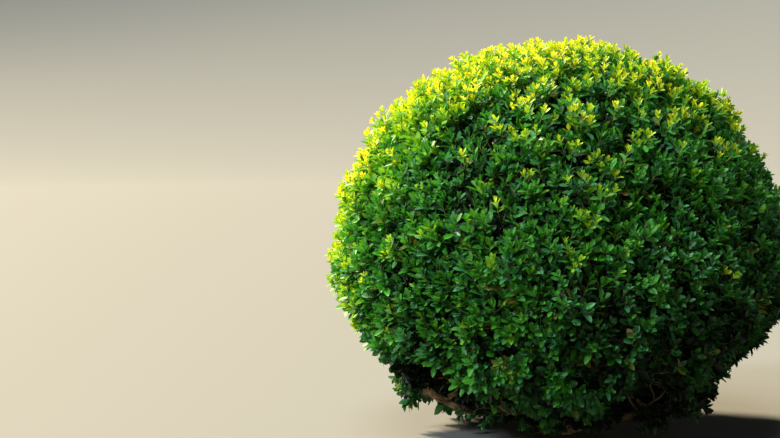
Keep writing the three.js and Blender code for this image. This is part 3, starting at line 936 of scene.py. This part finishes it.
def leaf_arrays(edge, place, aim, face, length, width, fold, curl, tile):
    """Leaves as one set of arrays. Each lies along its aim, with its upper side to its face."""
    edge = np.array(edge)
    left, right = range(2, 2 + len(edge)), range(2 + len(edge), 2 + 2 * len(edge))
    along = np.concatenate(((0, 1), edge[:, 0], edge[:, 0]))
    across = np.concatenate(((0, 0), edge[:, 1], -edge[:, 1]))
    side = np.cross(aim, face)
    rise = fold[:, None] * np.abs(across) - curl[:, None] * along**2
    vertices = place[:, None] + length[:, None, None] * (
        across[None, :, None] * width[:, None, None] * side[:, None]
        + along[None, :, None] * aim[:, None]
        + rise[:, :, None] * face[:, None]
    )
    faces = [(0, a, b) for a, b in zip(left, (*left[1:], 1))]
    faces = np.array(faces + [(0, b, a) for a, b in zip(right, (*right[1:], 1))])
    spots = np.stack((0.5 + across * LEAF_MAP_WIDTH, LEAF_MAP_MARGIN + along * LEAF_MAP_LENGTH), axis=1)
    corner = np.stack((tile % LEAF_TILES, tile // LEAF_TILES), axis=1)
    maps = (spots[faces.ravel()][None] + corner[:, None]) / LEAF_TILES
    starts = np.arange(len(place)) * len(along)
    triangles = (faces[None] + starts[:, None, None]).reshape(-1, 3)
    return vertices.reshape(-1, 3), triangles, maps.reshape(-1, 3, 2)


def height_share(z):
    """0 low in the skirt, 1 at the top."""
    return rising(z, SKIRT_TOP, BALL_HEIGHT - SKIRT_TOP)


def limb_pool(plans):
    """Places along the boughs and forks that finer growth can start from."""
    places = np.concatenate([plan["path"](BOUGH_PLACES) for plan in plans])
    ahead = np.concatenate([plan["path"](np.minimum(BOUGH_PLACES + BOUGH_STEP, 1)) for plan in plans])
    radii = np.concatenate([plan["radius"] * lerp(1, BOUGH_TIP_SHARE, BOUGH_PLACES) for plan in plans])
    return pool_of(places, unit(ahead - places), radii)


def new_growth_chance(directions):
    """How likely a bunch of shoots is to carry new growth: often on the dome, seldom low down."""
    dome = np.interp(directions[:, 2], NEW_SINES, NEW_CHANCES)
    sunny = rising(directions @ SUN, NEW_SUNNY["start"], NEW_SUNNY["span"]) * NEW_SUNNY["gain"]
    left = rising(-directions[:, 0], NEW_LEFT["start"], NEW_LEFT["span"]) * NEW_LEFT["gain"]
    return dome + sunny + left


def shoot_ways(directions):
    """The way each shoot heads: outwards, and up towards the light but for those under the skirt."""
    sine = directions[:, 2:]
    lift = SHOOT_LIFT * rising(sine, SHOOT_LIFT_FROM, SHOOT_LIFT_SPAN) * (1 - np.maximum(sine, 0) ** 2)
    return unit(directions + UP * lift + rng.uniform(-1, 1, size=directions.shape) * SHOOT_WANDER)


def shoot_plans(directions, depth, pool, in_shade):
    """Where each leafy shoot starts and ends, which bunch it belongs to, and whether it is new growth."""
    count = len(directions)
    tips = WAIST + directions * (reach_along(directions) - depth)[:, None]
    ways = shoot_ways(directions)
    chosen = nearest(tips - ways * SHOOT_LENGTH, share_out(tips), pool)
    bunch = pool["bunch"][chosen]
    clump = pool["clump"][chosen]
    is_new = (draw_new[bunch] < new_growth_chance(directions)) & (rng.random(count) < NEW_SHARE)
    is_new &= not in_shade
    height = height_share(tips[:, 2])
    proud = rng.uniform(NEW_PROUD_LEAST, 1, count) * NEW_SHOOT_PROUD
    proud = np.where(is_new, proud * np.clip(height * NEW_PROUD_RISE, NEW_PROUD_LOW, 1), 0)
    sunk = draw_depth[clump] * lerp(*CLUMP_DEPTH, np.sqrt(height))
    sunk += draw_vigour[bunch] * BUNCH_DEPTH + height**2 * DOME_DEPTH
    sunk *= np.where(is_new, NEW_SUNK_SHARE, 1) * (not in_shade)
    tips += directions * (proud - sunk)[:, None]
    ways = unit(ways + UP * (is_new * NEW_SHOOT_LIFT * (1 - np.abs(directions[:, 2])))[:, None])
    full = in_shade or rng.random(count) < np.interp(tips[:, 2], OPEN_HEIGHTS, (SKIRT_DENSITY, 1))
    kept = (tips[:, 2] > hem_height(tips)) & full
    plan = dict(
        low=np.zeros(count, dtype=bool), tips=tips, ways=ways, chosen=chosen, bunch=bunch, is_new=is_new,
        height=height, out=directions, sunk=sunk,
    )
    return {key: value[kept] for key, value in plan.items()}


def low_plans(pool):
    """The same for shoots straight from the boughs, at LOW_PLACES."""
    tips = []
    for count, *ranges in LOW_PLACES:
        bearing, distance, height = (lerp(*ends, rng.random(count)) for ends in ranges)
        bearing = np.radians(bearing)
        tips.append(np.stack((np.cos(bearing) * distance, np.sin(bearing) * distance, height), axis=1) * MM)
    tips = np.concatenate(tips)
    count = len(tips)
    directions = unit(tips - WAIST)
    ways = shoot_ways(directions)
    return dict(
        low=np.ones(count, dtype=bool), tips=tips, ways=ways, chosen=nearest(tips, share_out(tips), pool),
        bunch=rng.integers(0, TWIGS["count"], count), is_new=np.zeros(count, dtype=bool),
        height=np.zeros(count), out=directions, sunk=np.zeros(count),
    )


def leaf_table(plan, curve):
    """One row for each leaf of the shoots: where it sits, how it lies, its size, and what its shoot is."""
    chord = np.linalg.norm(curve[2] - curve[0], axis=1)
    count, ranks = len(chord), len(OLD_PAIRS)
    is_new = plan["is_new"][:, None]
    old, new = np.array(OLD_PAIRS), np.array(NEW_PAIRS)
    distance, size, opening, chance = (np.where(is_new, new[:, i], old[:, i]) for i in range(4))
    length = lerp(LEAF_LENGTH_LOW, LEAF_LENGTH_HIGH, plan["height"] ** LEAF_LENGTH_POWER)
    length = length * lerp(*LEAF_VIGOUR, draw_vigour[plan["bunch"]])
    length = np.where(plan["is_new"], NEW_LEAF_LENGTH, length) * rng.uniform(*LEAF_VARIETY, count)
    spacing = np.where(plan["is_new"], 1, length / PAIR_LENGTH)
    share = 1 - distance * MM * spacing[:, None] / chord[:, None]
    places, headings = hermite(*curve, np.clip(share, 0, 1))
    turn = rng.uniform(0, np.pi, count)[:, None] + np.arange(ranks) * np.pi / 2
    turn = turn + rng.normal(0, PAIR_TURN_VARIETY, (count, ranks))
    first = unit(np.cross(headings, ODD_WAY))
    second = np.cross(headings, first)
    towards = np.cos(turn)[..., None] * first + np.sin(turn)[..., None] * second
    light = unit(plan["out"] * LIGHT_OUT + UP * LIGHT_UP)[:, None]
    rank = np.broadcast_to(np.arange(ranks), (count, ranks))
    shoot_columns = {
        key: np.broadcast_to(plan[key][:, None], (count, ranks)) for key in ("bunch", "low", "height", "sunk")
    }
    rows = []
    for side in (-1, 1):
        angle = np.radians(opening + rng.normal(0, OPENING_VARIETY, (count, ranks)))[..., None]
        aim = np.cos(angle) * headings + np.sin(angle) * towards * side
        face = np.sin(angle) * headings - np.cos(angle) * towards * side
        drawn = light - (light * aim).sum(-1, keepdims=True) * aim
        pull = rng.uniform(*LIGHT_PULL, (count, ranks, 1))
        face = unit(face + drawn * pull + rng.normal(0, FACE_VARIETY, face.shape))
        face = unit(face - (face * aim).sum(-1, keepdims=True) * aim)
        here = (share > SHOOT_BARE) & (rng.random((count, ranks)) < chance)
        columns = dict(
            place=places + aim * LEAF_STALK, aim=aim, face=face,
            length=size * length[:, None] * rng.uniform(*LEAF_VARIETY, (count, ranks)),
            rank=rank, young=is_new & (rank < NEW_RANKS), **shoot_columns,
        )
        rows.append({key: value[here] for key, value in columns.items()})
    table = merged(rows)
    tips = table["place"] + table["aim"] * table["length"][:, None]
    lowest = np.minimum(table["place"][:, 2], tips[:, 2])
    over_hem = table["low"] | (lowest > hem_height(tips) - HEM_MARGIN)
    clear = (lowest > table["length"] * GROUND_ROOM) & over_hem
    middles = (table["place"] + tips) / 2
    table["out"] = unit(middles - WAIST)
    table["depth"] = (1 - share_out(middles)) * reach_along(table["out"])
    return {key: value[clear] for key, value in table.items()}


def leaf_finishes(table):
    """The name of each leaf's finish. Bunches share a tone, and leaves are darker with age, with painted
    shade deep in the crown, low down and away from the sun, and painted sunlight on the sun side.
    """
    count = len(table["length"])
    height, rank, bunch = table["height"], table["rank"], table["bunch"]
    # Partly painted sunlight: leaves on the sun side get lighter, yellower finishes.
    sunny = rising(table["out"] @ SUN, SUNNY_FROM, SUNNY_SPAN)
    tone = TONE["base"] + TONE["bunch"] * draw_tone[bunch] + TONE["height"] * height + TONE["sun"] * sunny
    # Painted shade: darker finishes low on the side away from the sun.
    tone -= SHADY_GAIN * np.clip(table["out"] @ SHADY_SIDE - SHADY_FROM, 0, SHADY_MOST)
    tone = tone - TONE["rank"] * rank + rng.normal(0, TONE["vary"], count)
    # Painted shade: leaves deeper in the crown get darker finishes, down to the near-black shade, and those
    # of LOW_PLACES darker still.
    buried = table["depth"] - table["sunk"] * HOLLOW_LIGHT
    lit_depth = lerp(*LIT_DEPTH, np.clip(height * LIT_RISE, 0, 1))
    tone -= rising(buried, lit_depth, PAINTED_SHADE_DEPTH) * PAINTED_SHADE_GAIN + table["low"] * LOW_SHADE
    # The old finishes from darkest to lightest; shade, the darkest, is painted shade.
    old_names = ("shade", "old_dark", "old_blue", "old_green")
    finish = np.select([tone < step for step in TONE_STEPS], old_names, "fresh").astype(object)
    # Partly painted sunlight: new growth is lighter and yellower at the top and on the sun side.
    bright = draw_bright[bunch] * BRIGHT["bunch"] + rng.normal(0, BRIGHT["vary"], count)
    bright -= BRIGHT["rank"] * rank
    bright += BRIGHT["height"] * height + BRIGHT["sun"] * sunny - BRIGHT["base"]
    young = np.select([bright < step for step in BRIGHT_STEPS], ("new_green", "new_soft"), "new_bright")
    finish[table["young"]] = young[table["young"]]
    worn = rng.random(count)
    older = (rank > 1) & (finish != "shade")
    sallow = (draw_bright[bunch] > SALLOW_FROM) & (height < SALLOW_HEIGHT)
    for name, chances in (("olive", OLIVE_CHANCE), ("tan", TAN_CHANCE)):
        finish[older & (worn < np.where(sallow, *chances))] = name
    table["length"] *= np.where(finish == "tan", TAN_SHRINK, 1)
    return finish


def add_leaves(table):
    """The leaves of each finish, joined into pieces."""
    finish = leaf_finishes(table)
    count = len(finish)
    width = rng.normal(1, LEAF_WIDTH_VARIETY, count) * lerp(*LEAF_WIDTH_SHARE, table["height"])
    fold = rng.uniform(*LEAF_FOLD, count)
    curl = rng.uniform(*LEAF_CURL, count)
    tile = rng.integers(0, LEAF_TILES**2, count)
    columns = (*(table[key] for key in ("place", "aim", "face", "length")), width, fold, curl, tile)
    for name, look in LEAF_LOOKS.items():
        material = leaf_material("box_leaf_" + name, *look)
        edge = SHADE_LEAF_EDGE if name == "shade" else LEAF_EDGE
        rows = np.flatnonzero(finish == name)
        parts = max(1, math.ceil(len(rows) / MOST_LEAVES))
        for number, part in enumerate(np.array_split(rows, parts), 1):
            arrays = leaf_arrays(edge, *(column[part] for column in columns))
            keep(mesh_from(f"leaves_{name}_{number}", *arrays, material), "foliage", "crown")


def add_stage():
    """A pale floor that curves up into a pale backdrop all round."""
    rise = np.linspace(0, FLOOR_TURN, FLOOR_RINGS)
    radii = np.concatenate(((0.0,), FLOOR_RADIUS + np.sin(rise) * FLOOR_CURVE))
    heights = np.concatenate(((0.0,), (1 - np.cos(rise)) * FLOOR_CURVE))
    sides = FLOOR_SIDES
    angle = np.arange(sides) * 2 * np.pi / sides
    vertices = [(r * math.cos(a), r * math.sin(a), z) for r, z in zip(radii, heights) for a in angle]
    faces = [
        (i * sides + j, (i + 1) * sides + j, (i + 1) * sides + (j + 1) % sides, i * sides + (j + 1) % sides)
        for i in range(len(radii) - 1)
        for j in range(sides)
    ]
    mesh = bpy.data.meshes.new("studio_floor")
    mesh.from_pydata(vertices, [], faces)
    mesh.shade_smooth()
    floor = bpy.data.objects.new("studio_floor", mesh)
    bpy.context.scene.collection.objects.link(floor)
    material, tree = blank_material("studio_paper")
    give_surface(tree, surface_of(tree, linear(PAPER), PAPER_ROUGHNESS))
    mesh.materials.append(material)


def add_light(name, way, softness, strength, colour):
    """A far soft light that shines from a way, with a disc as wide as its softness in degrees."""
    lamp = bpy.data.lights.new(name, "SUN")
    lamp.angle = math.radians(softness)
    lamp.energy = strength
    lamp.color = linear(colour)[:3]
    holder = bpy.data.objects.new(name, lamp)
    holder.location = Vector(way) * LIGHT_DISTANCE
    holder.rotation_euler = (-Vector(way)).to_track_quat("-Z", "Y").to_euler()
    bpy.context.scene.collection.objects.link(holder)


def add_studio():
    """The sky, the lights and the camera, which stands where the photo was taken from."""
    world = bpy.data.worlds.new("studio_world")
    world.use_nodes = True
    sky = world.node_tree.nodes["Background"].inputs
    sky["Color"].default_value = linear(WORLD_COLOUR)
    sky["Strength"].default_value = WORLD_STRENGTH
    bpy.context.scene.world = world
    for light in STUDIO_LIGHTS:
        add_light(*light)
    camera = bpy.data.cameras.new("camera")
    camera.lens = CAMERA_LENS
    camera.sensor_width = CAMERA_SENSOR
    holder = bpy.data.objects.new("camera", camera)
    holder.location = CAMERA_PLACE
    holder.rotation_euler = (math.radians(90 - CAMERA_DIP), 0, math.radians(CAMERA_TURN))
    bpy.context.scene.collection.objects.link(holder)
    bpy.context.scene.camera = holder
    bpy.context.scene.view_settings.view_transform = "Standard"


rng = np.random.default_rng(SEED)
noise.seed_set(SEED)  # without it noise_vector, and so the boughs' kinks, would follow the clock
boughs, forks = bough_plans()
bark = bark_material("box_bark")

trunk_top = UP * TRUNK_HEIGHT + TRUNK_LEAN
trunk_path, trunk_length = bent_path(-UP * FLARE_HEIGHT, UP * TRUNK_HEIGHT / 2, trunk_top)
trunk = limb(
    "trunk_bark", trunk_path, trunk_length, trunk_radius, TRUNK_SIDES, TRUNK_RINGS, TRUNK_ACROSS, 0, bark,
)
cut_at_ground(trunk)
keep(trunk, "bark", "trunk")
for plans, sides, rings, foot_share, kinked in (
    (boughs, BOUGH_SIDES, BOUGH_RINGS, 0, KINK_DEPTH),
    (forks, FORK_SIDES, FORK_RINGS, FORK_FOOT_SHARE, 0),
):
    for plan in plans:
        name, radius_at = plan["name"], tapered(plan, foot_share)
        piece = limb(name + "_bark", plan["path"], plan["length"], radius_at, sides, rings, UP, kinked, bark)
        keep(piece, "bark", name)

stub = limb("bough_1_stub_bark", *stub_plan(boughs[0]), stub_radius, STUB_SIDES, STUB_RINGS, UP, 0, bark)
saw_cut(stub)
keep(stub, "bark", "bough_1")

top_place = pool_of(trunk_top[None] - UP * TRUNK_TOP_SUNK, UP[None], np.array((TRUNK_TOP_RADIUS,)))
limb_places = limb_pool(boughs + forks)
leader_tubes, leaders = grow_level(LEADERS, merged([top_place, limb_places]))
spray_tubes, sprays = grow_level(SPRAY_LIMBS, merged([leaders, limb_places]), loose=spray_looseness())
branchlet_tubes, branchlets = grow_level(BRANCHLETS, merged([leaders, sprays, limb_places]), own="clump")
twig_tubes, twigs = grow_level(TWIGS, merged([sprays, branchlets]), own="bunch")

# One draw for each clump, and four for each bunch. The last of each is for growth outside them all.
draw_depth = rng.random(BRANCHLETS["count"] + 1) ** CLUMP_DEPTH_POWER
draw_tone, draw_new, draw_bright, draw_vigour = (rng.random(TWIGS["count"] + 1) for _ in range(4))

surface = spread(SURFACE_SHOOTS, *SHOOT_BAND, SHOOT_JITTER)
shade = spread(SHADE_SHOOTS, *SHOOT_BAND, SHOOT_JITTER)
pool = merged([branchlets, twigs])
depth = lerp(*SHOOT_DEPTH, rng.random(SURFACE_SHOOTS) ** SHOOT_DEPTH_POWER)
shade_depth = reach_along(shade) * (1 - rng.uniform(*SHADE_SHARE, SHADE_SHOOTS))
kinds = (
    (shoot_plans(surface, depth, pool, False), pool, SHOOT_RADIUS, SHOOT_RINGS),
    (shoot_plans(shade, shade_depth, pool, True), pool, SHOOT_RADIUS, SHADE_SHOOT_RINGS),
    (low_plans(limb_places), limb_places, LOW_SHOOT_RADIUS, LOW_SHOOT_RINGS),
)
leaves, new_shoots, old_shoots = [], [], []
for plan, feet, radius, rings in kinds:
    points, _, radii, curve = grown(plan["tips"], plan["ways"], feet, plan["chosen"], radius, rings)
    leaves.append(leaf_table(plan, curve))
    fresh = plan["is_new"]
    if fresh.any():
        new_shoots.append(tubes(points[fresh], radii[fresh], SHOOT_SIDES))
    old_shoots.append(tubes(points[~fresh], radii[~fresh], SHOOT_SIDES))
add_leaves(merged(leaves))

new_stem, young_stem, twig_bark, bare_bark = (stem_material(name, *look) for name, look in STEM_LOOKS.items())
stem_pieces = (
    ("shoots_new", joined(new_shoots), new_stem, "foliage"),
    ("shoots_old", joined(old_shoots), young_stem, "foliage"),
    ("twigs", twig_tubes, young_stem, "bark"),
    ("branchlets", branchlet_tubes, twig_bark, "bark"),
    ("inner_limbs", joined([leader_tubes, spray_tubes]), twig_bark, "bark"),
    ("bare_stems", bare_stems(), bare_bark, "bark"),
)
for name, arrays, material, slot in stem_pieces:
    keep(mesh_from(name, *arrays, material), slot, "crown")

add_stage()
add_studio()
